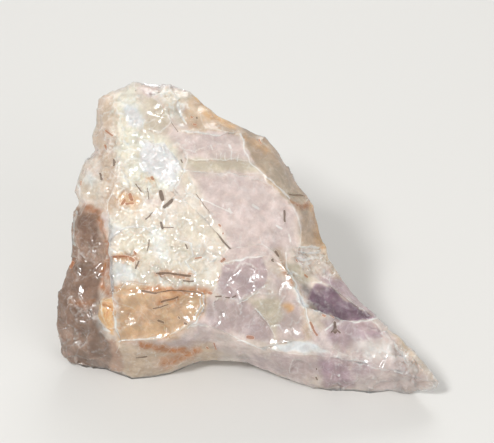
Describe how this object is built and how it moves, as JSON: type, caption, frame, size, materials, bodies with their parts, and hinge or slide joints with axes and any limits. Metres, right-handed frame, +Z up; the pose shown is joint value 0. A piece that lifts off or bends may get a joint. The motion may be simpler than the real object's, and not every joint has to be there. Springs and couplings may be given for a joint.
{
  "type": "rough amethyst",
  "caption": "Rough broken piece of pale violet quartz, a leaning wedge with a tall blunt end, a side ledge and a thin tip, that lies on a flat foot as a display stone.",
  "frame": {"origin": "middle of the stone's bounding box, on the ground under it", "axes": "+X along the stone from the blunt end to the thin tip, +Y from the sloping front to the steep back, +Z up"},
  "size_m": [0.04, 0.0252, 0.0248],
  "materials": {
    "amethyst": "satin broken quartz, cloudy to clear"
  },
  "bodies": {
    "root": {"amethyst": "amethyst"}
  },
  "joints": []
}
